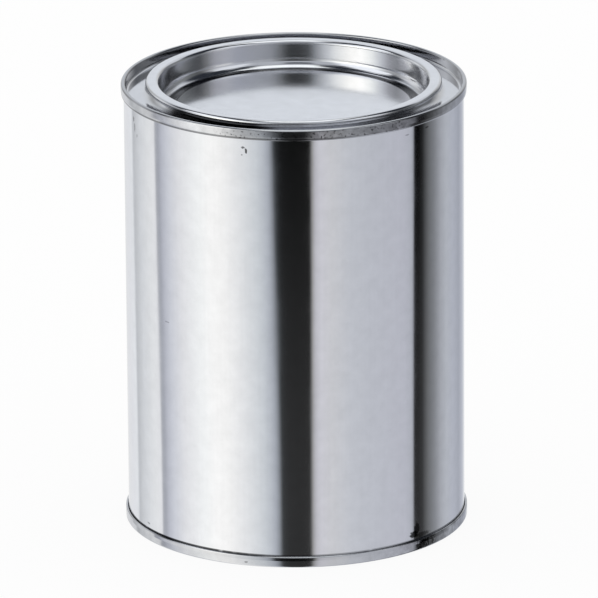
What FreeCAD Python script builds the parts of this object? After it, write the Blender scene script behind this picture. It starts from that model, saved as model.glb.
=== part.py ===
# Round lever-lid tin of bare tinplate, shut with its plug lid.
# Units are millimetres. The origin is the centre of the base, and +Z points up.
#
# Every pressed piece is one sheet of constant thickness. Its section is the sheet's middle line,
# a chain of corners with a bend at each one, thickened to both sides and turned about Z.
import FreeCAD, Part
import math
import os

# Overall sizes
can_height = 133.0             # over both double seams
body_radius = 49.7             # outside of the body wall
body_plate = 0.24              # thickness of the body sheet
end_plate = 0.24               # thickness of the top ring and the bottom end
lid_plate = 0.24               # thickness of the plug lid
ply_gap = 0.03                 # film of sealing compound between pressed plies

# Double seams, where an end's rim and the body's rim are rolled together, five plies thick
seam_height = 3.2              # from the crown to the turned edge
crown_bend = 0.40              # bends over the crown
taper_height = 1.1             # lower part of the seam, which the last rolling pass presses in
taper_depth = 0.10             # how far it is pressed in
taper_bend = 1.0
hook_end_room = 0.40           # free space past the end of the cover hook

# Top ring: chuck wall, open channel, sloped riser and the throat that grips the plug
plug_inset = 10.1              # from the outside of the body in to the plug
channel_depth = 3.2            # from the seam's crown down to the channel floor
channel_bend = 0.90            # between the chuck wall and the floor
riser_slope = 20.0             # degrees off vertical
riser_foot_bend = 3.0          # wide foot of the riser
bead_width = 1.5               # from the plug out to where the riser meets the bead
bead_bend = 0.45
throat_end_room = 0.20         # the throat stops this far above the plug's rounded foot

# Plug lid: panel with a groove round it, plug wall, flange and rolled edge
plug_fit = 0.05                # between the plug and the throat
seat_gap = 0.02                # between the flange and the ring's bead
lid_rise = 0.55                # top of the flange above the seam's crown
panel_depth = 7.65             # from the flange down to the panel
groove_depth = 0.50            # from the panel down to the groove
groove_width = 4.8             # from the outside of the plug wall in to the panel's edge
shoulder_slope = 45.0          # degrees off level, between the panel and the groove
shoulder_bend = 0.50
foot_bend = 3.1                # between the groove and the plug wall
flange_bend = 1.1              # between the plug wall and the flange
flange_width = 3.7             # from the plug wall to the outside of the rolled edge
curl_radius = 0.95             # outside of the rolled edge
curl_tail = 0.10               # the rolled edge goes this far past a half turn

# Bottom end: recessed panel with one raised step
base_recess = 3.6              # from the foot up to the ring of the panel next to the wall
base_bend = 0.90               # between the chuck wall and the panel
step_inset = 13.7              # from the outside of the body in to the raised step
step_rise = 0.8
step_slope = 45.0              # degrees off level
step_bend = 0.6

# Welded side seam at the back of the body
lap_width = 1.2
lap_rise = 0.10

plug_radius = body_radius - plug_inset
seam_pitch = (body_plate + end_plate) / 2 + ply_gap


def unit(vector):
    length = math.hypot(vector[0], vector[1])
    return (vector[0] / length, vector[1] / length)


def left_of(direction):
    return (-direction[1], direction[0])


def along(point, direction, distance):
    return (point[0] + direction[0] * distance, point[1] + direction[1] * distance)


def heading(start, end):
    return unit((end[0] - start[0], end[1] - start[1]))


def side_of(corners, shift):
    """One side of a sheet: the chain of corners (radius, height, bend) shifted to its left.
    Straight runs move sideways, and each bend keeps its centre, so both sides stay parallel.
    Returns pieces of two points for a line and three points for an arc."""
    pieces = []
    here = along(corners[0], left_of(heading(corners[0], corners[1])), shift)
    for before, corner, after in zip(corners, corners[1:], corners[2:]):
        inward, outward = heading(before, corner), heading(corner, after)
        cross = inward[0] * outward[1] - inward[1] * outward[0]
        dot = inward[0] * outward[0] + inward[1] * outward[1]
        turn = math.atan2(cross, dot)
        hand = math.copysign(1.0, turn)
        bend = corner[2]
        tangent = bend * math.tan(abs(turn) / 2)
        entry = along(corner, inward, -tangent)
        centre = along(entry, left_of(inward), hand * bend)
        reach = -hand * (bend - hand * shift)
        first = along(centre, left_of(inward), reach)
        middle = along(centre, left_of(unit((inward[0] + outward[0], inward[1] + outward[1]))), reach)
        last = along(centre, left_of(outward), reach)
        pieces.append((here, first))
        pieces.append((first, middle, last))
        here = last
    end = along(corners[-1], left_of(heading(corners[-2], corners[-1])), shift)
    pieces.append((here, end))
    return pieces


def backwards(pieces):
    return [tuple(reversed(piece)) for piece in reversed(pieces)]


def joined(*chains):
    """Closes several chains of pieces into one outline, with straight lines between their ends."""
    outline = []
    for chain, following in zip(chains, chains[1:] + chains[:1]):
        outline += chain
        outline.append((chain[-1][-1], following[0][0]))
    return outline


def turned(outline):
    """Turns a closed outline of (radius, height) pieces about Z into a solid."""
    edges = []
    for piece in outline:
        points = [FreeCAD.Vector(radius, 0, height) for radius, height in piece]
        if points[0].distanceToPoint(points[-1]) < 1e-7:
            continue
        if len(points) == 2:
            edges.append(Part.LineSegment(points[0], points[1]).toShape())
        else:
            edges.append(Part.Arc(points[0], points[1], points[2]).toShape())
    face = Part.Face(Part.Wire(edges))
    return face.revolve(FreeCAD.Vector(0, 0, 0), FreeCAD.Vector(0, 0, 1), 360)


def pressed(corners, plate):
    """A pressed sheet: both sides of its middle line, square cut at the ends."""
    return turned(joined(side_of(corners, plate / 2), backwards(side_of(corners, -plate / 2))))


def mirrored(corners):
    """The same chain upside down, for the other end of the can."""
    return [(corner[0], can_height - corner[1]) + tuple(corner[2:]) for corner in corners]


# Middle radii of the five plies of a seam, from the inside of the can outwards
body_mid = body_radius - body_plate / 2
chuck_mid = body_mid - seam_pitch
cover_hook_mid = body_mid + seam_pitch
body_hook_mid = body_mid + 2 * seam_pitch
seam_wall_mid = body_mid + 3 * seam_pitch
turned_edge_mid = seam_wall_mid - taper_depth

# Heights of the plies in the top seam
crown_mid = can_height - end_plate / 2
seam_edge_mid = can_height - seam_height + end_plate / 2
taper_top = can_height - seam_height + taper_height
body_rim_mid = can_height - end_plate - ply_gap - body_plate / 2
cover_hook_end = body_rim_mid - body_plate / 2 - hook_end_room

# Heights of the lid's and the ring's middle lines
flange_mid = can_height + lid_rise - lid_plate / 2
panel_mid = flange_mid - panel_depth
groove_mid = panel_mid - groove_depth
plug_foot = groove_mid + lid_plate / 2 + foot_bend
throat_foot = plug_foot + throat_end_room
bead_mid = flange_mid - lid_plate / 2 - seat_gap - end_plate / 2
floor_mid = can_height - channel_depth - end_plate / 2


def seam_rim():
    """An end's rim from the top of its chuck wall: over the crown, down outside, and up as the cover hook."""
    edge_bend = (turned_edge_mid - cover_hook_mid) / 2
    return [
        (chuck_mid, crown_mid, crown_bend),
        (seam_wall_mid, crown_mid, crown_bend),
        (seam_wall_mid, taper_top, taper_bend),
        (turned_edge_mid, seam_edge_mid, edge_bend),
        (cover_hook_mid, seam_edge_mid, edge_bend),
        (cover_hook_mid, cover_hook_end),
    ]


def body_rim():
    """The body's rim: up the wall, outwards, and down as the body hook, which ends where the taper begins."""
    return [
        (body_mid, body_rim_mid, seam_pitch),
        (body_hook_mid, body_rim_mid, seam_pitch),
        (body_hook_mid, taper_top),
    ]


def ring_field():
    """The top ring inside its seam: up the throat, over the bead, down the riser and across the channel.
    The bead fills the bend under the lid's flange."""
    throat_mid = plug_radius + plug_fit + end_plate / 2
    lean = math.radians(riser_slope)
    riser_top = plug_radius + bead_width - end_plate / 2 / math.cos(lean)
    riser_foot = riser_top + (bead_mid - floor_mid) * math.tan(lean)
    return [
        (throat_mid, throat_foot),
        (throat_mid, bead_mid, flange_bend - lid_plate - end_plate / 2),
        (riser_top, bead_mid, bead_bend),
        (riser_foot, floor_mid, riser_foot_bend + end_plate / 2),
        (chuck_mid, floor_mid, channel_bend + end_plate / 2),
    ]


def plug_cup():
    """The lid's panel from its centre, the groove round it, and the foot of the plug wall."""
    wall_mid = plug_radius - lid_plate / 2
    panel_edge = plug_radius - groove_width
    shoulder_run = groove_depth / math.tan(math.radians(shoulder_slope))
    return [
        (0.0, panel_mid),
        (panel_edge, panel_mid, shoulder_bend),
        (panel_edge + shoulder_run, groove_mid, shoulder_bend),
        (wall_mid, groove_mid, foot_bend + lid_plate / 2),
    ]


def flange_curl():
    """The lid's flange and its edge, rolled under by a little more than a half turn and then upright."""
    wall_mid = plug_radius - lid_plate / 2
    curl_bend = curl_radius - lid_plate / 2
    curl_out = plug_radius + flange_width - lid_plate / 2
    curl_in = curl_out - 2 * curl_bend
    curl_foot = flange_mid - 2 * curl_bend
    return [
        (wall_mid, flange_mid, flange_bend - lid_plate / 2),
        (curl_out, flange_mid, curl_bend),
        (curl_out, curl_foot, curl_bend),
        (curl_in, curl_foot, curl_bend),
        (curl_in, curl_foot + curl_bend + curl_tail),
    ]


def base_field():
    """The bottom end inside its seam: the raised panel from its centre, the step, and the ring beside the wall."""
    ring_mid = base_recess + end_plate / 2
    step_radius = body_radius - step_inset
    step_run = step_rise / math.tan(math.radians(step_slope))
    return [
        (0.0, ring_mid + step_rise),
        (step_radius - step_run, ring_mid + step_rise, step_bend),
        (step_radius, ring_mid, step_bend),
        (chuck_mid, ring_mid, base_bend + end_plate / 2),
    ]


def inner_space():
    """Outline of what the shut can encloses. It lies against the undersides of the ring and the lid,
    against the bottom end, and reaches into the middle of the body wall."""
    end_side = end_plate / 2 + ply_gap
    lid_side = lid_plate / 2 + ply_gap
    base_hook_end = can_height - cover_hook_end
    ring_inside = side_of(ring_field() + [(chuck_mid, cover_hook_end)], -end_side)
    lid_inside = side_of(plug_cup() + [(plug_radius - lid_plate / 2, throat_foot)], -lid_side)
    base_inside = side_of(base_field() + [(chuck_mid, base_hook_end)], end_side)
    wall = [((body_mid, base_hook_end), (body_mid, cover_hook_end))]
    return joined(base_inside, wall, backwards(ring_inside), backwards(lid_inside))


def side_lap():
    """The welded lap of the body sheet, a low strip down the back between the two seams."""
    foot = seam_height + ply_gap
    top = can_height - foot
    lap_radius = body_radius + lap_rise
    sleeve = turned([
        ((body_mid, foot), (lap_radius, foot)),
        ((lap_radius, foot), (lap_radius, top)),
        ((lap_radius, top), (body_mid, top)),
        ((body_mid, top), (body_mid, foot)),
    ])
    strip = Part.makeBox(lap_width, lap_radius, can_height, FreeCAD.Vector(-lap_width / 2, 0, 0))
    return sleeve.common(strip)


def can_body():
    wall = pressed(mirrored(body_rim())[::-1] + body_rim(), body_plate)
    return wall.fuse([turned(inner_space()), side_lap()]).removeSplitter()


def save(name, shape):
    solid = shape.Solids[0]
    solid.exportStep(f"parts/{name}.step")
    box = solid.optimalBoundingBox()
    volume = solid.Volume / 1000
    print(f"{name}: {len(shape.Solids)} solid, valid {solid.isValid()}, {volume:.2f} cm3")
    print(f"  radius {box.XMax:.2f}, from {box.ZMin:.2f} to {box.ZMax:.2f}")


os.makedirs("parts", exist_ok=True)
save("can_body", can_body())
save("bottom_end", pressed(base_field() + mirrored(seam_rim()), end_plate))
save("top_ring", pressed(ring_field() + seam_rim(), end_plate))
save("plug_lid", pressed(plug_cup() + flange_curl(), lid_plate))
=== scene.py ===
import math
import bpy
import numpy as np
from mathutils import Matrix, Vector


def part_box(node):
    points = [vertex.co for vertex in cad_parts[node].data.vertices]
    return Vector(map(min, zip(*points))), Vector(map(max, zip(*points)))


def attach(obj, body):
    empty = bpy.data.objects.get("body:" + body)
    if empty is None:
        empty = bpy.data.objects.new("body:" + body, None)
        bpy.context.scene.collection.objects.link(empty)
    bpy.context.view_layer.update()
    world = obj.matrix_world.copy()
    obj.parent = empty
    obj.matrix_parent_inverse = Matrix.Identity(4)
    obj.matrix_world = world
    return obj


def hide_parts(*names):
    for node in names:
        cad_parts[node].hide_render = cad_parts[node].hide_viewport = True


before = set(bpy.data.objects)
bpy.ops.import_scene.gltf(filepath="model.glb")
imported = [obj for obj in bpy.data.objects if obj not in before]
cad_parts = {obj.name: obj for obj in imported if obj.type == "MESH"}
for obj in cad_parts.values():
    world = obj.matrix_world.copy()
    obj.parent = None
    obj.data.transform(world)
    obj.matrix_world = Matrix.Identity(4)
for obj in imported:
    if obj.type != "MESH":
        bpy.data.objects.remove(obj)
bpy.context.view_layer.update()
print("frame loaded:", sorted(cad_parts))

# Sizes of the pressed sheets, in millimetres, the same as the frame's solids have.
# Overall sizes come from the frame, so that the looks can't drift away from it.
mm = 0.001
tiny = 1e-6                 # shorter than this is nothing
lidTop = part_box("plug_lid")[1].z / mm
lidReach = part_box("plug_lid")[1].x / mm
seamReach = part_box("top_ring")[1].x / mm

tin = {
    "plate": 0.24,          # every sheet
    "plyGap": 0.03,         # film of compound between plies
    "seamHeight": 3.2,
    "crownBend": 0.40,
    "taperHeight": 1.1,     # lower part of a seam, pressed in by the last rolling pass
    "taperDepth": 0.10,
    "taperBend": 1.0,
    "hookEndRoom": 0.40,
    "lidRise": 0.55,        # flange above the seam's crown
}
half = tin["plate"] / 2
seamPitch = tin["plate"] + tin["plyGap"]
canHeight = lidTop - tin["lidRise"]
seamWallMid = seamReach - half          # names in Mid are radii or heights of a sheet's middle line
bodyMid = seamWallMid - 3 * seamPitch
bodyRadius = bodyMid + half
chuckMid = bodyMid - seamPitch
coverHookMid = bodyMid + seamPitch
bodyHookMid = bodyMid + 2 * seamPitch
turnedEdgeMid = seamWallMid - tin["taperDepth"]
edgeBend = (turnedEdgeMid - coverHookMid) / 2


def unit(vector):
    # The same direction, one long: vector / |vector|
    return vector / np.linalg.norm(vector)


def leftOf(direction):
    # A quarter turn to the left: (x, y) becomes (-y, x)
    return np.array([-direction[1], direction[0]])


def sideOf(corners, shift, arcStep=7.5, edgeRoom=0.03):
    # One side of a sheet: a chain of corners (radius, height, bend) shifted to its left.
    # Straight runs move sideways, bends keep their centres: point = centre + reach * (turning normal).
    # Bends have a point every arcStep degrees. A point edgeRoom from both ends of a straight run keeps
    # its reflection straight up to the bend.
    points = [np.array(corner[:2], float) for corner in corners]
    runs = [unit(b - a) for a, b in zip(points, points[1:])]
    chain = [points[0] + leftOf(runs[0]) * shift]
    for corner, point, inward, outward in zip(corners[1:-1], points[1:-1], runs, runs[1:]):
        turn = math.atan2(inward[0] * outward[1] - inward[1] * outward[0], inward @ outward)
        hand, bend = math.copysign(1.0, turn), corner[2]
        entry = point - inward * bend * math.tan(abs(turn) / 2)
        centre = entry + leftOf(inward) * hand * bend
        count = max(2, math.ceil(abs(math.degrees(turn)) / arcStep)) + 1
        swing = np.linspace(0, turn, count)[:, None]
        normal = leftOf(inward) * np.cos(swing) - inward * np.sin(swing)
        chain.extend(centre - hand * (bend - hand * shift) * normal)
    chain.append(points[-1] + leftOf(runs[-1]) * shift)
    out = [chain[0]]
    for a, b in zip(chain, chain[1:]):
        length = np.linalg.norm(b - a)
        if length < tiny:
            continue
        if length > 6 * edgeRoom:       # a bend's steps are shorter
            out += [a + (b - a) * edgeRoom / length, b - (b - a) * edgeRoom / length]
        out.append(b)
    return np.array(out)


def denser(profile, spacing, low=None, high=None):
    # Splits runs into equal steps no longer than spacing: a + (b - a) * k / count.
    # With low and high, only the runs between those heights.
    out = [profile[:1]]
    for a, b in zip(profile, profile[1:]):
        inside = low is None or (low <= min(a[1], b[1]) and max(a[1], b[1]) <= high)
        count = max(1, math.ceil(np.linalg.norm(b - a) / spacing)) if inside else 1
        out.append(a + (b - a) * np.linspace(0, 1, count + 1)[1:, None])
    return np.concatenate(out)


def upsideDown(corners):
    # The bottom seam is the top one turned over: height becomes canHeight - height
    return [(radius, canHeight - height, *bend) for radius, height, *bend in corners]


def sheetOutline(corners, spacing=9.0):
    # Both sides of the sheet in one loop. Lines that start on the axis end there again.
    loop = np.concatenate([sideOf(corners, half), sideOf(corners, -half)[::-1]])
    if corners[0][0] > tiny:
        loop = np.concatenate([loop, loop[:1]])
    return denser(loop, spacing)


def unroll(mesh, angle, along, rows):
    # UV in metres: u = angle * the body's radius, v = the way along the profile.
    # A face over the join at the back takes its left corners' angles one turn on, so that it isn't drawn
    # backwards across the whole map.
    around = len(angle)
    corner = np.zeros(len(mesh.loops), np.int64)
    mesh.loops.foreach_get("vertex_index", corner)
    starts = np.zeros(len(mesh.polygons), np.int64)
    mesh.polygons.foreach_get("loop_start", starts)
    face = np.repeat(np.arange(len(starts)), np.diff(np.append(starts, len(corner))))
    onGrid = corner < rows * around
    u = angle[np.where(onGrid, corner % around, 0)]
    farthest = np.full(len(starts), -math.pi)
    np.maximum.at(farthest, face, np.where(onGrid, u, -math.pi))
    joins = (farthest[face] > math.pi - 2 * np.diff(angle).max()) & (u < 0) & onGrid
    u = np.where(joins, u + 2 * math.pi, u)
    rowAt = along[1:-1] if len(along) == rows + 2 else along[:-1]     # the poles are no rows
    v = np.append(np.repeat(rowAt, around), [along[0], along[-1]])[corner]
    uv = mesh.uv_layers.new(name="aroundAndAlong")
    uv.data.foreach_set("uv", np.stack([u * bodyRadius * mm, v * mm], -1).ravel())


def turnedMesh(name, profile, around, bulge=None, extraAngles=()):
    # A surface of revolution: x = r sin(a), y = -r cos(a), z = height, where a = 0 faces the front.
    # profile runs clockwise in the (radius, height) plane, so that faces point outwards.
    # One that starts and ends on the axis is closed there by two poles; any other closes on itself.
    # bulge(angle, radius, height) gives how far out each point moves, in millimetres.
    # extraAngles get their own columns, besides the evenly spaced ones.
    poles = profile[0, 0] < tiny
    rows = profile[1:-1] if poles else profile[:-1]
    angle = np.union1d(np.linspace(-math.pi, math.pi, around, endpoint=False), extraAngles)
    count, around = len(rows), len(angle)
    a, r = np.meshgrid(angle, rows[:, 0])
    h = np.meshgrid(angle, rows[:, 1])[1]
    if bulge is not None:
        r = r + bulge(a, r, h)
    points = np.stack([r * np.sin(a), -r * np.cos(a), h], -1).reshape(-1, 3)
    i, j = np.meshgrid(np.arange(count - 1 if poles else count), np.arange(around), indexing="ij")
    nextRow, nextColumn = (i + 1) % count * around, (j + 1) % around
    quads = np.stack([i * around + j, i * around + nextColumn, nextRow + nextColumn, nextRow + j], -1)
    faces = quads.reshape(-1, 4).tolist()
    if poles:
        column = np.arange(around)
        ahead = (column + 1) % around
        first, lastRow = len(points), (count - 1) * around
        points = np.concatenate([points, [[0, 0, profile[0, 1]], [0, 0, profile[-1, 1]]]])
        faces += np.stack([np.full(around, first), ahead, column], -1).tolist()
        faces += np.stack([np.full(around, first + 1), lastRow + column, lastRow + ahead], -1).tolist()
    mesh = bpy.data.meshes.new(name)
    mesh.from_pydata((points * mm).tolist(), [], faces)
    along = np.append(0, np.cumsum(np.linalg.norm(np.diff(profile, axis=0), axis=1)))
    unroll(mesh, angle, along, count)
    mesh.polygons.foreach_set("use_smooth", np.ones(len(faces), bool))
    mesh.validate()
    piece = bpy.data.objects.new(name, mesh)
    bpy.context.scene.collection.objects.link(piece)
    print("made", name, "with", len(faces), "faces")
    return piece


# The top seam's plies: the ring's rim is rolled over the body's
crownMid = canHeight - half
seamEdgeMid = canHeight - tin["seamHeight"] + half
bodyRimMid = canHeight - 3 * half - tin["plyGap"]
taperTop = canHeight - tin["seamHeight"] + tin["taperHeight"]
coverHookEnd = bodyRimMid - half - tin["hookEndRoom"]
seamRim = [
    (chuckMid, crownMid, tin["crownBend"]),
    (seamWallMid, crownMid, tin["crownBend"]),
    (seamWallMid, taperTop, tin["taperBend"]),
    (turnedEdgeMid, seamEdgeMid, edgeBend),
    (coverHookMid, seamEdgeMid, edgeBend),
    (coverHookMid, coverHookEnd),
]
bodyRim = [
    (bodyMid, bodyRimMid, seamPitch),
    (bodyHookMid, bodyRimMid, seamPitch),
    (bodyHookMid, taperTop),
]

lid = {
    "plugRadius": 39.6,
    "panelDepth": 7.65,
    "grooveDepth": 0.50,
    "panelEdge": 34.8,
    "stepSlope": 45.0,
    "stepBend": 0.5,
    "footBend": 3.1,
    "flangeBend": 1.1,
    "curlRadius": 0.95,
    "curlTail": 0.10,
    "around": 360,
}


def lidLine():
    # Middle line from the axis: panel, step down into the groove, plug wall, flange, and the rolled edge,
    # which is three square corners whose bends meet
    wallMid = lid["plugRadius"] - half
    flangeMid = lidTop - half
    panelMid = flangeMid - lid["panelDepth"]
    grooveMid = panelMid - lid["grooveDepth"]
    stepRun = lid["grooveDepth"] / math.tan(math.radians(lid["stepSlope"]))
    curlBend = lid["curlRadius"] - half
    curlOut = lidReach - half
    curlIn = curlOut - 2 * curlBend
    return [
        (0.0, panelMid),
        (lid["panelEdge"], panelMid, lid["stepBend"]),
        (lid["panelEdge"] + stepRun, grooveMid, lid["stepBend"]),
        (wallMid, grooveMid, lid["footBend"] + half),
        (wallMid, flangeMid, lid["flangeBend"] - half),
        (curlOut, flangeMid, curlBend),
        (curlOut, flangeMid - 2 * curlBend, curlBend),
        (curlIn, flangeMid - 2 * curlBend, curlBend),
        (curlIn, flangeMid - curlBend + lid["curlTail"]),
    ]


ring = {
    "channelDepth": 3.2,
    "channelBend": 0.90,
    "riserSlope": 20.0,
    "riserTopRadius": 41.1,
    "riserFootBend": 3.0,
    "beadBend": 0.45,
    "throatEndRoom": 0.20,   # between the plug's rounded foot and the end of the throat
    "plugFit": 0.05,
    "seatGap": 0.02,
    "around": 352,
}


def ringLine():
    # Middle line from the throat's end: throat, bead under the flange, leaning riser, channel, chuck wall
    # and seam
    throatMid = lid["plugRadius"] + ring["plugFit"] + half
    beadMid = lidTop - tin["plate"] - ring["seatGap"] - half
    grooveMid = lidTop - half - lid["panelDepth"] - lid["grooveDepth"]
    throatFoot = grooveMid + half + lid["footBend"] + ring["throatEndRoom"]
    floorMid = canHeight - ring["channelDepth"] - half
    lean = math.radians(ring["riserSlope"])
    riserTop = ring["riserTopRadius"] - half / math.cos(lean)
    riserFoot = riserTop + (beadMid - floorMid) * math.tan(lean)
    return [
        (throatMid, throatFoot),
        (throatMid, beadMid, lid["flangeBend"] - tin["plate"] - half),
        (riserTop, beadMid, ring["beadBend"]),
        (riserFoot, floorMid, ring["riserFootBend"] + half),
        (chuckMid, floorMid, ring["channelBend"] + half),
    ] + seamRim


base = {
    "recess": 3.6,
    "bend": 0.90,
    "stepRadius": 36.0,
    "stepRise": 0.8,
    "stepSlope": 45.0,
    "stepBend": 0.6,
    "around": 360,
}


def baseLine():
    # Middle line from the axis: raised panel, step down, flat ring, chuck wall and the bottom seam
    ringMid = base["recess"] + half
    panelMid = ringMid + base["stepRise"]
    stepRun = base["stepRise"] / math.tan(math.radians(base["stepSlope"]))
    return [
        (0.0, panelMid),
        (base["stepRadius"] - stepRun, panelMid, base["stepBend"]),
        (base["stepRadius"], ringMid, base["stepBend"]),
        (chuckMid, ringMid, base["bend"] + half),
    ] + upsideDown(seamRim)


body = {
    "around": 336,
    "rowSpacing": 1.6,
    "waves": [            # slack in the sheet: (times round, wavelength up the wall, phase, depth)
        (3, 310.0, 0.4, 0.030),
        (5, 170.0, 2.1, 0.012),
        (9, 95.0, 4.0, 0.004),
    ],
    "slackFrom": 8.0,     # the seams hold the sheet round for so far from them
    "dent": (46.0, 7.6),  # degrees from the front, height
    "dentHalf": (2.6, 2.2),
    "dentDepth": 0.22,
    "dentFrom": 1.5,      # it fades out so far above the bottom seam
    "lapWidth": 1.2,      # welded side lap at the back
    "lapRise": 0.10,
    "lapEdge": 0.05,
}
lapFrom = math.pi - body["lapWidth"] / 2 / bodyRadius       # angle where the lap starts, on either side


def bodyBulge(a, r, h):
    # Slack in the rolled sheet: depth * sin(times * a + 2 pi h / wavelength + phase), summed over the waves,
    # faded with the smooth step 3t^2 - 2t^3 near the seams. The dent is a Gaussian hollow,
    # depth * exp(-across^2 - up^2), and the lap a strip that stands proud from seam to seam.
    low, high = tin["seamHeight"], canHeight - tin["seamHeight"]
    free = np.clip(np.minimum(h - low, high - h) / body["slackFrom"], 0, 1)
    free = free * free * (3 - 2 * free)
    out = np.zeros_like(a)
    for times, wavelength, phase, depth in body["waves"]:
        out += free * depth * np.sin(times * a + 2 * math.pi * h / wavelength + phase)
    across = (a - math.radians(body["dent"][0])) * bodyRadius / body["dentHalf"][0]
    up = (h - body["dent"][1]) / body["dentHalf"][1]
    out -= body["dentDepth"] * np.exp(-across ** 2 - up ** 2) * np.clip((h - low) / body["dentFrom"], 0, 1)
    onLap = np.abs(a) > lapFrom - body["lapEdge"] / 2 / bodyRadius
    clear = (h > low + tin["plyGap"]) & (h < high - tin["plyGap"])
    out += body["lapRise"] * (onLap & clear)
    return np.where(np.abs(r - bodyRadius) < half, out, 0.0)


def bodyOutline():
    # The wall's outside with both rims, closed inside against the ring, the lid and the bottom end,
    # each a film's gap away: the shut tin is solid behind its wall, as its frame node is
    gapSide = half + tin["plyGap"]
    ringIn = sideOf(ringLine()[:5] + [(chuckMid, coverHookEnd)], -gapSide)
    lidIn = sideOf(lidLine()[:4] + [(lid["plugRadius"] - half, ringLine()[0][1])], -gapSide)
    baseIn = sideOf(baseLine()[:4] + [(chuckMid, canHeight - coverHookEnd)], gapSide)
    rims = upsideDown(bodyRim)[::-1] + bodyRim
    outside, inside = sideOf(rims, -half), sideOf(rims, half)
    tallest = int(np.argmax(np.abs(np.diff(inside[:, 1])))) + 1     # the wall's inside is left out
    wall = denser(outside, body["rowSpacing"], tin["seamHeight"], canHeight - tin["seamHeight"])
    return np.concatenate([lidIn, ringIn, inside[tallest:], wall[::-1], inside[:tallest], baseIn[::-1]])


lapSides = [lapFrom, lapFrom - body["lapEdge"] / bodyRadius]     # the lap's edge is a step between them
lapAngles = [-angle for angle in lapSides] + lapSides
bodyPiece = turnedMesh("canBody", bodyOutline(), body["around"], bodyBulge, lapAngles)
lidPiece = turnedMesh("plugLid", sheetOutline(lidLine()), lid["around"])
ringPiece = turnedMesh("topRing", sheetOutline(ringLine()), ring["around"])
basePiece = turnedMesh("bottomEnd", sheetOutline(baseLine()), base["around"])

made = {"can_body": bodyPiece, "plug_lid": lidPiece, "top_ring": ringPiece, "bottom_end": basePiece}
for node, piece in made.items():
    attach(piece, "root")
    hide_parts(node)
print("pieces made:", sorted(made))


def linear(hexColour):
    # sRGB hex to linear light: c / 12.92 near black, and ((c + 0.055) / 1.055) ^ 2.4 above
    parts = [int(hexColour[i:i + 2], 16) / 255 for i in (1, 3, 5)]
    return [p / 12.92 if p <= 0.04045 else ((p + 0.055) / 1.055) ** 2.4 for p in parts] + [1.0]


def addNode(tree, kind, inputs=None, output=0, **settings):
    # One node: settings are its own properties, and each input takes a value or another node's socket
    node = tree.nodes.new("ShaderNode" + kind)
    for name, value in settings.items():
        setattr(node, name, value)
    for slot, value in (inputs or {}).items():
        if isinstance(value, bpy.types.NodeSocket):
            tree.links.new(value, node.inputs[slot])
        else:
            node.inputs[slot].default_value = value
    return node.outputs[output] if node.outputs else node


def newMaterial(name):
    material = bpy.data.materials.new(name)
    material.use_nodes = True
    material.node_tree.nodes.clear()
    return material, material.node_tree


def product(tree, values):
    # All of them at once: the first times the second, times the third, and so on
    out = values[0]
    for value in values[1:]:
        out = addNode(tree, "Math", {0: out, 1: value}, operation="MULTIPLY")
    return out


def leftOver(tree, share, dark=1.0):
    # What is left of the shine where share of the metal is covered or painted in shade: 1 - share * dark
    return addNode(tree, "Math", {0: share, 1: -dark, 2: 1.0}, operation="MULTIPLY_ADD")


def wander(tree, pattern, amount, middle=1.0):
    # More or less than middle, as a pattern from 0 to 1 goes: middle + (pattern - 0.5) * amount
    away = addNode(tree, "Math", {0: pattern, 1: 0.5}, operation="SUBTRACT")
    return addNode(tree, "Math", {0: away, 1: amount, 2: middle}, operation="MULTIPLY_ADD")


def perMetre(size):
    # The scale of a pattern in Object coordinates whose patches are so many millimetres wide: 1 / size
    return 1 / (size * mm)


def band(tree, value, low, high, soft):
    # 1 from low to high, with a smooth step down to 0 over soft beyond each; None leaves that side open
    limits = []
    if low is not None:
        limits.append({"From Min": low - soft, "From Max": low})
    if high is not None:
        limits.append({"From Min": high, "From Max": high + soft, "To Min": 1.0, "To Max": 0.0})
    return product(tree, [
        addNode(tree, "MapRange", {"Value": value, **limit}, interpolation_type="SMOOTHSTEP")
        for limit in limits])


def patch(tree, at, **limits):
    # 1 on one part of a piece, told by its radius, height, angle or grit, and 0 elsewhere
    return product(tree, [band(tree, at[name], *limit) for name, limit in limits.items()])


def spot(tree, at, degrees, height, wide, tall):
    # 1 inside an ellipse on the wall, half as wide and tall as the spot, and ragged by the grit:
    # sqrt(across^2 + up^2) + ragged * grit stays under the edge
    ragged, edge, soft = 1.4, 1.45, 0.35
    reach = math.degrees(wide / bodyRadius)
    sides = [
        addNode(tree, "Math", {0: at[name], 1: 1 / size, 2: -middle / size}, operation="MULTIPLY_ADD")
        for name, middle, size in (("angle", degrees, reach), ("height", height, tall))]
    both = addNode(tree, "CombineXYZ", dict(enumerate(sides)))
    away = addNode(tree, "VectorMath", {0: both}, "Value", operation="LENGTH")
    torn = addNode(tree, "Math", {0: at["grit"], 1: ragged, 2: away}, operation="MULTIPLY_ADD")
    return band(tree, torn, None, edge, soft)


def roundTheTin(tree, angle, stops):
    # A colour for each direction, straight from one (degrees from the front, colour) to the next.
    # A plain number for the colour is a grey of that level.
    low, high = stops[0][0], stops[-1][0]
    share = addNode(tree, "MapRange", {"Value": angle, "From Min": low, "From Max": high})
    colours = addNode(tree, "ValToRGB", {0: share})
    held = colours.node.color_ramp.elements
    held.remove(held[1])
    for index, (degrees, colour) in enumerate(stops):
        place = (degrees - low) / (high - low)
        stop = held.new(place) if index else held[0]
        stop.position = place
        stop.color = colour if isinstance(colour, list) else [colour] * 3 + [1.0]
    return colours


def facing(tree, x, y):
    # Degrees from the front, positive to the right: atan2(x, -y)
    front = product(tree, [y, -1.0])
    return product(tree, [addNode(tree, "Math", {0: x, 1: front}, operation="ARCTAN2"), 180 / math.pi])


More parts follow.
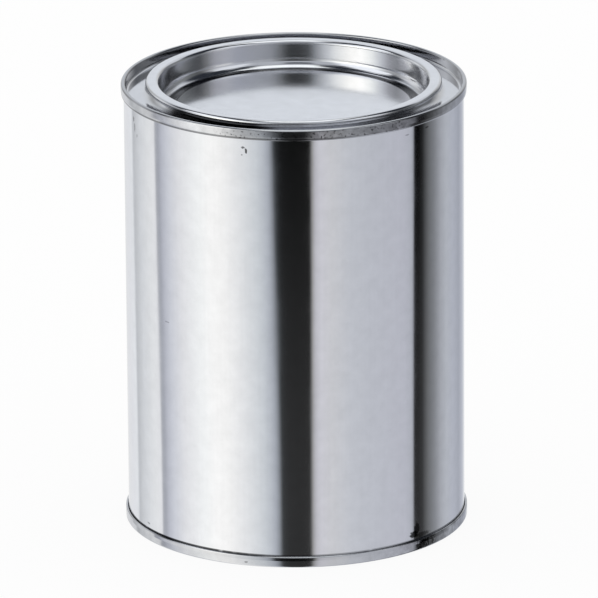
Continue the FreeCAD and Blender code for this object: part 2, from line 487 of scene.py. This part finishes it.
tinplate = {
    "colour": "#dcdde1",     # a touch bluer than bare steel
    "streaks": 0.05,         # how much the rolled grain varies the colour
    "clouds": 0.16,          # and how much the uneven flow of the molten tin does
    "cloudSize": 3.85,
    "grainDepth": 0.1,       # times the strength that each finish gives
    "gritSize": 0.625,       # true grit is finer, and is drawn this coarse to show at all
}


def tinplateMaterial(name, finishAndShade, wearAndShade):
    # Cold-rolled steel sheet with a flow-melted coat of tin. The eye gets a near mirror that shows the
    # studio as soft-edged stripes, with a faint cloudiness where the tin flowed and fine lines of the rolls.
    # wearAndShade(tree, at) gives how much of the bare metal's colour is left after wear and painted shade,
    # and how much rougher it is.
    # The grain's size is real for length; across, it is drawn a few times too coarse, to show at all.
    material, tree = newMaterial(name)
    way = addNode(tree, "TexCoord", output="Object")
    x, y, z = addNode(tree, "SeparateXYZ", {0: way}).node.outputs
    level = addNode(tree, "VectorMath", {0: way, 1: (1.0, 1.0, 0.0)}, operation="MULTIPLY")
    reach = addNode(tree, "VectorMath", {0: level}, "Value", operation="LENGTH")
    at = {
        "way": way,
        "radius": product(tree, [reach, 1 / mm]),
        "height": product(tree, [z, 1 / mm]),
        "angle": facing(tree, x, y),
        "grit": addNode(tree, "TexNoise", {
            "Vector": way, "Scale": perMetre(tinplate["gritSize"]), "Detail": 2.0}),
    }
    around, along = finishAndShade["grainSize"]
    unrolled = addNode(tree, "UVMap", uv_map="aroundAndAlong")
    scaled = addNode(tree, "Mapping", {
        "Vector": unrolled, "Scale": (perMetre(around), perMetre(along), 1.0)})
    grain = addNode(tree, "TexNoise", {"Vector": scaled, "Scale": 1.0, "Detail": 3.0})
    bump = addNode(tree, "Bump", {
        "Height": grain, "Strength": finishAndShade["grainStrength"], "Distance": tinplate["grainDepth"] * mm})
    clouds = addNode(tree, "TexNoise", {
        "Vector": way, "Scale": perMetre(tinplate["cloudSize"]), "Detail": 5.0})
    left, rougher = wearAndShade(tree, at)
    shine = product(tree, [
        left, wander(tree, grain, tinplate["streaks"]), wander(tree, clouds, tinplate["clouds"])])
    metal = linear(tinplate["colour"])[:3]
    colour = addNode(tree, "VectorMath", {0: metal, "Scale": shine}, operation="SCALE")
    rough = addNode(tree, "Math", {0: rougher, 1: finishAndShade["roughness"]}, operation="ADD")
    shader = addNode(tree, "BsdfPrincipled", {
        "Metallic": 1.0, "Base Color": colour, "Roughness": rough, "Normal": bump})
    addNode(tree, "OutputMaterial", {"Surface": shader})
    print("material made:", name)
    return material


# In the finish and shade tables, a place is (low, high, soft) for its radius, height, angle or grit, as
# patch() takes it, in millimetres and in degrees from the front. Levels round the tin are (degrees from the
# front, level).

bodyFinishAndShade = {
    "roughness": 0.06,
    "grainSize": (0.909, 40.0),      # lines run up the wall
    "grainStrength": 0.010,
    "fogSize": 16.7,                 # patches dulled by hands
    "fogFrom": (0.75, None, 0.40),
    "fogRoughness": 0.03,
    "marks": [                       # (degrees, height, half width, half height, how dark)
        (-17.3, 127.2, 0.55, 0.35, 0.75), (-16.2, 126.2, 0.35, 0.75, 0.85), (-17.6, 125.0, 0.30, 0.25, 0.5),
        (-69.5, 127.0, 0.6, 0.9, 0.5), (-68.5, 124.6, 0.5, 1.4, 0.45), (-66.5, 122.5, 0.4, 0.6, 0.4),
        (-48.6, 69.9, 0.9, 0.22, 0.35), (-60.8, 5.0, 0.8, 0.3, 0.5),
        (50.6, 128.1, 0.9, 0.35, 0.5), (41.0, 127.6, 0.7, 0.25, 0.35),
        (43.4, 4.9, 1.8, 1.1, 0.92), (44.9, 6.6, 1.2, 1.8, 0.75), (47.5, 4.3, 3.2, 0.7, 0.6),   # painted shade in the dent
    ],
    "corner": (3.0, 3.62, 0.12),     # painted shade just above the bottom seam, where the seam meets the wall
    "cornerShade": [
        (-180, 0.3), (-92, 0.6), (-80, 0.92), (-20, 0.85), (0, 0.6), (20, 0.4), (60, 0.5), (92, 0.6),
        (180, 0.3)],
    "cornerShadeSize": 2.86,
    "cornerShadeFrom": (0.42, None, 0.30),
    "weldHeat": (None, 0.5, 1.9),    # millimetres from the weld's middle
    "weldDark": 0.35,
    "weldRoughness": 0.12,
}


def bodyWearAndShade(tree, at):
    # Bright wall: marks, painted shade in the dent and in the corner above the bottom seam, and the dull
    # heat of the weld take some of its shine, left = product of (1 - dark * share), and a fog of handling
    # blurs it in places
    finishAndShade = bodyFinishAndShade
    left = [leftOver(tree, spot(tree, at, *mark[:4]), mark[4]) for mark in finishAndShade["marks"]]
    # painted shade in the corner above the bottom seam, broken up by a noise
    cornerBreakup = addNode(tree, "TexNoise", {
        "Vector": at["way"], "Scale": perMetre(finishAndShade["cornerShadeSize"]), "Detail": 2.0})
    corner = product(tree, [
        band(tree, at["height"], *finishAndShade["corner"]), roundTheTin(tree, at["angle"], finishAndShade["cornerShade"]),
        band(tree, cornerBreakup, *finishAndShade["cornerShadeFrom"])])
    turned = addNode(tree, "Math", {0: at["angle"]}, operation="ABSOLUTE")
    fromWeld = addNode(tree, "Math", {0: 180.0, 1: turned}, operation="SUBTRACT")
    heat = band(tree, product(tree, [fromWeld, math.radians(bodyRadius)]), *finishAndShade["weldHeat"])
    left += [leftOver(tree, corner), leftOver(tree, heat, finishAndShade["weldDark"])]
    hands = addNode(tree, "TexNoise", {
        "Vector": at["way"], "Scale": perMetre(finishAndShade["fogSize"]), "Detail": 4.0})
    fog = product(tree, [band(tree, hands, *finishAndShade["fogFrom"]), finishAndShade["fogRoughness"]])
    burnt = product(tree, [heat, finishAndShade["weldRoughness"]])
    return product(tree, left), addNode(tree, "Math", {0: fog, 1: burnt}, operation="ADD")


lidFinishAndShade = {
    "roughness": 0.12,
    "grainSize": (25.0, 0.4545),     # rings that the press and the seaming chuck leave
    "grainStrength": 0.03,
    "fogSize": 11.1,
    "fogFrom": (0.75, None, 0.40),
    "fogRoughness": 0.04,
    # the foot of the plug wall, down in its groove, is painted dark as shade
    "foot": {"radius": (34.6, 37.3, 0.5), "height": (124.0, 126.0, 0.15)},
    "footShade": 0.88,
}


def lidWearAndShade(tree, at):
    # Pressed sheet is a little duller than the rolled wall. The foot of the plug wall, down in its groove,
    # is painted dark as shade, left = 1 - shade * foot, and fingers have dulled the rest in patches
    finishAndShade = lidFinishAndShade
    hands = addNode(tree, "TexNoise", {
        "Vector": at["way"], "Scale": perMetre(finishAndShade["fogSize"]), "Detail": 4.0})
    left = leftOver(tree, patch(tree, at, **finishAndShade["foot"]), finishAndShade["footShade"])
    return left, product(tree, [band(tree, hands, *finishAndShade["fogFrom"]), finishAndShade["fogRoughness"]])


endFinishAndShade = {
    "roughness": 0.09,
    "grainSize": lidFinishAndShade["grainSize"],
    "grainStrength": lidFinishAndShade["grainStrength"],
    "level": 0.87,                   # a little duller than the body all over
    # Outside of the top seam: the rolls have rubbed it dull and cloudy, and the front of it is pitted
    "seam": {"radius": (50.4, None, 0.15), "height": (canHeight - 2.75, canHeight - 0.35, 0.15)},
    "seamLevel": [
        (-90, 0.70), (-50, 0.78), (-36, 0.93), (-26, 0.85), (-18, 0.55), (-6, 0.55), (8, 0.42), (24, 0.40),
        (32, 0.30), (42, 0.34), (56, 0.45), (75, 0.60), (90, 0.65)],
    "seamClouds": [(-90, 0.4), (-30, 0.4), (-10, 0.8), (5, 1.3), (40, 1.4), (60, 0.8), (90, 0.6)],
    "seamCloudSize": 2.22,
    "seamRoughness": 0.06,
    "pits": {"grit": (0.66, None, 0.06), "angle": (-22.0, 36.0, 6.0)},
    "pitDark": 0.8,
    # Its lower edge is painted dark as shade under the seam, from the left round to the front
    "edge": {"height": (canHeight - 3.3, canHeight - 2.6, 0.2), "radius": (50.1, None, 0.2),
             "angle": (-80.0, 10.0, 20.0)},
    "seamEdgeShade": 0.6,
    # Painted shade on the chuck wall and the riser, at the front, under the lid's rolled edge, where the
    # channel lies deep in shade
    "channelShade": {"radius": (41.0, 49.25, 0.1), "height": (100.0, canHeight - 0.4, 0.3)},
    "channelShadeShare": [
        (-180, 0.0), (-64, 0.0), (-55, 0.92), (-16, 0.92), (-6, 0.0), (20, 0.0), (34, 0.4), (52, 0.5),
        (66, 0.0), (180, 0.0)],
    # The crown is scuffed by stacking, most toward the two sides
    "crown": {"height": (canHeight - 0.3, None, 0.2), "radius": (49.2, None, 0.2)},
    "crownLevel": [
        (-180, 0.85), (-120, 0.72), (-80, 0.66), (-45, 0.72), (-20, 0.90), (25, 0.90), (45, 0.70),
        (80, 0.66), (120, 0.72), (180, 0.85)],
    # Outside of the bottom seam: stained to the right, scraped beside the dent, with one dark speck
    "bottom": {"height": (-0.1, 3.4, 0.1), "radius": (50.2, None, 0.2)},
    "bottomLevel": [
        (-180, 0.9), (-92, 0.8), (-60, 0.92), (-10, 0.97), (20, 0.95), (36, 0.85), (44, 0.72), (60, 0.66),
        (80, 0.72), (92, 0.8), (180, 0.9)],
    "bottomCloudSize": 2.0,
    "bottomClouds": 3.5,             # the duller it is, the cloudier
    "scrape": {"angle": (45.0, 52.0, 3.0), "height": (0.0, 3.4, 0.1), "grit": (0.56, None, 0.14),
               "radius": (50.3, None, 0.2)},
    "scrapeDark": 0.75,
    "speck": (-17.1, 1.2, 0.5, 0.3),
    "speckDark": 0.5,
}


def endWearAndShade(tree, at):
    # Rolled seams lose their mirror: left = level of each part, times (1 - dark * share) of what lies on it
    # and of the painted shade in the channel and under the seam's lower edge
    finishAndShade = endFinishAndShade
    seam = patch(tree, at, **finishAndShade["seam"])
    rubbed = addNode(tree, "TexNoise", {
        "Vector": at["way"], "Scale": perMetre(finishAndShade["seamCloudSize"]), "Detail": 4.0})
    seamLeft = product(tree, [
        roundTheTin(tree, at["angle"], finishAndShade["seamLevel"]),
        wander(tree, rubbed, roundTheTin(tree, at["angle"], finishAndShade["seamClouds"])),
        leftOver(tree, patch(tree, at, **finishAndShade["pits"]), finishAndShade["pitDark"])])
    # painted shade in the channel under the lid's rolled edge
    channelShade = product(tree, [
        patch(tree, at, **finishAndShade["channelShade"]), roundTheTin(tree, at["angle"], finishAndShade["channelShadeShare"])])
    bottomLevel = roundTheTin(tree, at["angle"], finishAndShade["bottomLevel"])
    stains = addNode(tree, "TexNoise", {
        "Vector": at["way"], "Scale": perMetre(finishAndShade["bottomCloudSize"]), "Detail": 4.0})
    amount = product(tree, [leftOver(tree, bottomLevel), finishAndShade["bottomClouds"]])
    bottomLeft = wander(tree, stains, amount, bottomLevel)
    crownLeft = roundTheTin(tree, at["angle"], finishAndShade["crownLevel"])
    left = product(tree, [
        addNode(tree, "Mix", {0: seam, 2: finishAndShade["level"], 3: seamLeft}),
        addNode(tree, "Mix", {0: patch(tree, at, **finishAndShade["crown"]), 2: 1.0, 3: crownLeft}),
        addNode(tree, "Mix", {0: patch(tree, at, **finishAndShade["bottom"]), 2: 1.0, 3: bottomLeft}),
        # painted shade under the top seam's lower edge
        leftOver(tree, patch(tree, at, **finishAndShade["edge"]), finishAndShade["seamEdgeShade"]),
        leftOver(tree, channelShade),
        leftOver(tree, patch(tree, at, **finishAndShade["scrape"]), finishAndShade["scrapeDark"]),
        leftOver(tree, spot(tree, at, *finishAndShade["speck"]), finishAndShade["speckDark"])])
    return left, product(tree, [seam, finishAndShade["seamRoughness"]])


bodyPiece.data.materials.append(tinplateMaterial("rolledTinplateBody", bodyFinishAndShade, bodyWearAndShade))
lidPiece.data.materials.append(tinplateMaterial("pressedTinplateLid", lidFinishAndShade, lidWearAndShade))
ringPiece.data.materials.append(tinplateMaterial("seamedTinplateEnds", endFinishAndShade, endWearAndShade))
basePiece.data.materials.append(ringPiece.data.materials[0])

sweep = {
    "side": 12.0,            # metres
    "colour": "#f4f4f4",
    "white": 0.9,            # share that shows plain white to the camera, and leaves a faint shadow
}


def buildSweep():
    # A level square of white paper. Its matte face takes the tin's soft shadow and no shine.
    side = sweep["side"] / 2
    mesh = bpy.data.meshes.new("floor")
    mesh.from_pydata([(-side, -side, 0), (side, -side, 0), (side, side, 0), (-side, side, 0)], [],
                     [(0, 1, 2, 3)])
    paper, tree = newMaterial("whitePaperSweep")
    matte = addNode(tree, "BsdfDiffuse", {"Color": linear(sweep["colour"])})
    glow = addNode(tree, "Emission", {"Color": (1.0, 1.0, 1.0, 1.0), "Strength": 1.0})
    share = product(tree, [addNode(tree, "LightPath", output="Is Camera Ray"), sweep["white"]])
    addNode(tree, "OutputMaterial", {"Surface": addNode(tree, "MixShader", {0: share, 1: matte, 2: glow})})
    mesh.materials.append(paper)
    floor = bpy.data.objects.new("floor", mesh)
    floor.visible_glossy = False      # the tin mirrors the studio below the table's edge, not the table
    bpy.context.scene.collection.objects.link(floor)
    return floor


floor = buildSweep()
print("floor made")

studio = {
    # What stands round the tin, by degrees from the camera's side, in the colour that the tin shows of it.
    # These lie below the table's edge, where the upright wall looks.
    "lowLeft": [
        (-180, "#dcdcde"), (-168, "#c9cbd0"), (-150, "#d2d4da"), (-143, "#d6d9de"),     # pale wall behind
        (-139.5, "#b0b3b9"), (-137, "#b8bbc0"), (-128, "#cbced3"), (-115, "#dadcdf"),   # its next stretch
        (-108.6, "#dcdde1"), (-107.2, "#a0a3ab"), (-104, "#9da0aa"),                    # edge of a screen
        (-101, "#b1b4bf"), (-95, "#c5c8d1"), (-84, "#dbdce0"), (-68, "#edeff0"),        # lit by the soft box
        (-59, "#f4f4f4"), (-50, "#efefef"),                                             # the soft box
        (-41, "#e3e4e6"), (-32, "#d3d6da"), (-24, "#c3c8ce"), (-17.5, "#a8adb7"),       # fading to the front
        (-14.5, "#868b93"), (-12.4, "#222527"), (-8, "#0c0d0e"), (0, "#060707"),        # the camera's stand
    ],
    "lowRight": [
        (0, "#060707"), (10.2, "#0a0a0a"),                                              # the camera's stand
        (12.0, "#989899"), (14, "#b8b8c0"), (17, "#c5c5cd"), (25, "#c3c4c9"),           # a reflecting board
        (38, "#babdc5"), (51, "#b5b8c1"), (80, "#b0b2bd"), (86, "#a8abb5"), (87.8, "#989ba4"),
        (88.8, "#000000"), (93, "#000000"), (97, "#1e1f20"), (103, "#5e6063"),          # a black flag
        (110, "#797c82"), (118, "#9c9fa7"), (126, "#aaaeb7"),                           # and its shade
        (136, "#a6aab6"), (149, "#979ba7"), (160, "#a9adb9"), (168, "#c4c7ce"), (180, "#dcdcde"),
    ],
    # The same round it a little above the table's edge, where the lid's wall looks by way of its panel.
    "highLeft": [
        (-180, "#b0b5c0"), (-165, "#acb0b9"), (-150, "#84868b"), (-140, "#9b9ea5"), (-130, "#b4b7bf"),
        (-120, "#abaeb6"), (-110, "#8f9199"), (-100, "#797c82"), (-90, "#8b8d95"), (-80, "#bec2ca"),
        (-70, "#e6e9ea"), (-60, "#fcfcfc"), (-50, "#f9f9f8"), (-40, "#e1e3e5"),         # the soft box
        (-30, "#bcc0c7"), (-20, "#84888f"), (-13, "#3c3f42"), (-5, "#26282a"), (0, "#242628"),
    ],
    "highRight": [
        (0, "#242628"), (5, "#2c2e30"), (12, "#62656a"), (20, "#82868f"), (30, "#888c95"),
        (50, "#9094a0"), (60, "#999ca5"), (70, "#9496a0"),                              # the board
        (80, "#66686c"), (90, "#3a3c40"), (100, "#4c4f53"),                             # the flag
        (110, "#63666a"), (120, "#63666b"), (140, "#55585e"), (160, "#a0a2a8"), (180, "#b0b5c0"),
    ],
    # The stands lean: a foot, seen low in the wall, is so many degrees round from its top, seen high in it.
    "leanLeft": 5.0,
    "leanRight": -1.2,
    "leanMiddle": 0.4,        # share of the way down where they stand at the degrees above
    "topSeen": -16.9,         # degrees up from level, in the top and the foot of the wall
    "footSeen": -19.0,
    "tableGlow": 0.038,       # light that the table throws on what the foot of the wall shows
    # Overhead: a dark room with lamps and walls in it, painted one over another. Each has its reach from
    # left (-1) to right (1), degrees up from the front's horizon, how soft both are, and a grey from 0
    # to 255.
    "room": 40,
    "overhead": [
        ((-2.0, 2.0), (-90.0, 62.0), (0.1, 14.0), 172),       # glow of the table and the front wall
        ((-2.0, 2.0), (138.0, 270.0), (0.1, 12.0), 140),      # back wall
        ((-0.35, 0.55), (138.0, 270.0), (0.35, 12.0), 200),   # and its lit middle
        ((-2.0, -0.62), (-90.0, 104.0), (0.14, 12.0), 242),   # soft box at the left
        ((0.62, 2.0), (-90.0, 76.0), (0.12, 10.0), 220),      # smaller one at the right
        ((-0.18, 0.06), (46.0, 54.0), (0.1, 6.0), 50),        # camera and its stand
        ((-0.16, 0.28), (74.0, 116.0), (0.1, 7.0), 252),      # long lamp over the middle
    ],
    "greyTint": (-5, -1, 7),  # the room's greys lean to blue
    # Where each part hands over to the next, by height on a ball round the tin from -1 to 1, and how softly
    "highFrom": (0.08, None, 0.26),
    "overheadFrom": (0.52, None, 0.16),
}


def greyBlue(tone):
    # A grey from 0 to 255 as hex, each channel moved by the tint and kept in range
    return "#" + "".join(f"{min(max(tone + more, 0), 255):02x}" for more in studio["greyTint"])


def asSeen(hexColour, bounces=1):
    # The light that must stand there for the tin to show this colour: colour / metal ^ bounces
    metal = linear(tinplate["colour"])
    return [shown / own ** bounces for shown, own in zip(linear(hexColour), metal)]


def buildWorld():
    # The world lights the object plain white from all round. What the tin mirrors is the studio: two rings
    # of stands and boards, one below the other, and the lamps overhead, each faded into the next.
    world = bpy.data.worlds.new("studio")
    bpy.context.scene.world = world
    world.use_nodes = True
    tree = world.node_tree
    tree.nodes.clear()
    way = addNode(tree, "TexCoord", output="Generated")
    x, y, z = addNode(tree, "SeparateXYZ", {0: way}).node.outputs
    azimuth = facing(tree, x, y)
    onRight = addNode(tree, "Math", {0: x, 1: 0.0}, operation="GREATER_THAN")
    down = addNode(tree, "MapRange", {
        "Value": z, "From Min": math.sin(math.radians(studio["topSeen"])),
        "From Max": math.sin(math.radians(studio["footSeen"]))})
    rings = {}
    for level, bounces in (("low", 1), ("high", 2)):
        halves = []
        for hand in ("Left", "Right"):
            seen = azimuth
            if level == "low":
                lean = studio["lean" + hand]
                shift = addNode(tree, "Math", {0: down, 1: -lean, 2: lean * studio["leanMiddle"]},
                                operation="MULTIPLY_ADD")
                seen = addNode(tree, "Math", {0: azimuth, 1: shift}, operation="ADD")
            stops = [(degrees, asSeen(colour, bounces)) for degrees, colour in studio[level + hand]]
            halves.append(roundTheTin(tree, seen, stops))
        rings[level] = addNode(tree, "Mix", {0: onRight, 6: halves[0], 7: halves[1]}, 2, data_type="RGBA")
    glow = product(tree, [down, studio["tableGlow"]])
    low = addNode(tree, "VectorMath", {0: rings["low"], 1: glow}, operation="ADD")
    arch = facing(tree, z, y)
    over = asSeen(greyBlue(studio["room"]))
    for wide, tall, soft, tone in studio["overhead"]:
        share = product(tree, [band(tree, x, *wide, soft[0]), band(tree, arch, *tall, soft[1])])
        over = addNode(tree, "Mix", {0: share, 6: over, 7: asSeen(greyBlue(tone))}, 2, data_type="RGBA")
    upper = addNode(tree, "Mix", {
        0: band(tree, z, *studio["overheadFrom"]), 6: rings["high"], 7: over}, 2, data_type="RGBA")
    whole = addNode(tree, "Mix", {
        0: band(tree, z, *studio["highFrom"]), 6: low, 7: upper}, 2, data_type="RGBA")
    mirrored = addNode(tree, "Background", {"Color": whole, "Strength": 1.0})
    plain = addNode(tree, "Background", {"Color": (1.0, 1.0, 1.0, 1.0), "Strength": 1.0})
    both = addNode(tree, "MixShader", {
        0: addNode(tree, "LightPath", output="Is Glossy Ray"), 1: plain, 2: mirrored})
    addNode(tree, "OutputWorld", {"Surface": both})


buildWorld()
print("world made")

view = {
    "distance": 2.8189,      # metres from the middle of the tin
    "elevation": 17.944,     # degrees, as are the next three
    "pitch": 17.9546,        # how far the lens looks down
    "turn": 0.0239,          # and to the right
    "roll": -0.395,
    "lens": 577.26,          # mm, on a film 36 mm wide
    "film": 36.0,
    "clip": (0.1, 60.0),     # metres
}


def buildCamera():
    # It stands at (0, -distance cos(elevation), middle + distance sin(elevation)) and looks along
    # (sin(turn) cos(pitch), cos(turn) cos(pitch), -sin(pitch)), then rolls about that line
    data = bpy.data.cameras.new("camera")
    camera = bpy.data.objects.new("camera", data)
    bpy.context.scene.collection.objects.link(camera)
    bpy.context.scene.camera = camera
    data.lens, data.sensor_width = view["lens"], view["film"]
    data.clip_start, data.clip_end = view["clip"]
    rise, pitch, turn, roll = (math.radians(view[k]) for k in ("elevation", "pitch", "turn", "roll"))
    middle = canHeight / 2 * mm
    place = [0, -view["distance"] * math.cos(rise), middle + view["distance"] * math.sin(rise)]
    level = math.cos(pitch)
    forward = np.array([math.sin(turn) * level, math.cos(turn) * level, -math.sin(pitch)])
    right = np.array([math.cos(turn), -math.sin(turn), 0.0])
    up = np.cross(right, forward)
    matrix = np.eye(4)
    matrix[:3, 0] = math.cos(roll) * right + math.sin(roll) * up
    matrix[:3, 1] = math.cos(roll) * up - math.sin(roll) * right
    matrix[:3, 2] = -forward
    matrix[:3, 3] = place
    camera.matrix_world = matrix.T.tolist()


buildCamera()
bpy.context.scene.view_settings.view_transform = "Standard"
bpy.context.view_layer.update()
print("camera set")
